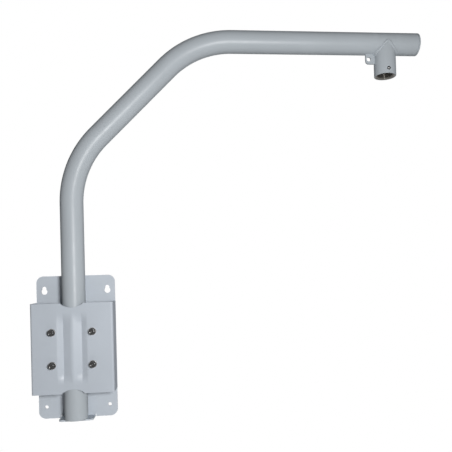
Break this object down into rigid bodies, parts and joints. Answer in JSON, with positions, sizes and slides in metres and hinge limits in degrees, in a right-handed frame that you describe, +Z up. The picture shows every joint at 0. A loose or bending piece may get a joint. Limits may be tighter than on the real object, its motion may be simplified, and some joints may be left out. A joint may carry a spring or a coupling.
{
  "type": "parapet mount bracket",
  "caption": "Swan-neck steel tube arm clamped to a slotted wall plate; a threaded socket under its end holds a dome camera.",
  "frame": {"origin": "centre of the wall plate's back face, where it meets the wall", "axes": "+Y into the wall, -Y out to the viewer, +X along the wall the way the arm points at rest, +Z up along the upright"},
  "size_m": [1.0618, 0.0811, 1.0319],
  "materials": {
    "paint": "satin pale grey powder coat",
    "bolt_steel": "dark zinc",
    "washer_steel": "plain zinc"
  },
  "bodies": {
    "wall_bracket": {"wall_plate": "paint", "clamp_plate": "paint", "clamp_bolt_upper_left": "bolt_steel", "spring_washer_upper_left": "washer_steel", "flat_washer_upper_left": "washer_steel", "weld_nut_upper_left": "paint", "clamp_bolt_upper_right": "bolt_steel", "spring_washer_upper_right": "washer_steel", "flat_washer_upper_right": "washer_steel", "weld_nut_upper_right": "paint", "clamp_bolt_lower_left": "bolt_steel", "spring_washer_lower_left": "washer_steel", "flat_washer_lower_left": "washer_steel", "weld_nut_lower_left": "paint", "clamp_bolt_lower_right": "bolt_steel", "spring_washer_lower_right": "washer_steel", "flat_washer_lower_right": "washer_steel", "weld_nut_lower_right": "paint"},
    "swan_neck_arm": {"arm_tube": "paint", "end_cap": "paint", "camera_socket": "paint", "socket_weld": "paint", "safety_lug": "paint", "set_screw": "bolt_steel"}
  },
  "joints": [
    {"name": "arm_swivel", "type": "hinge", "parent": "wall_bracket", "child": "swan_neck_arm", "pos_m": [0, -0.03408, -0.1849], "axis": [0, 0, 1], "range_deg": [-180, 180]}
  ]
}
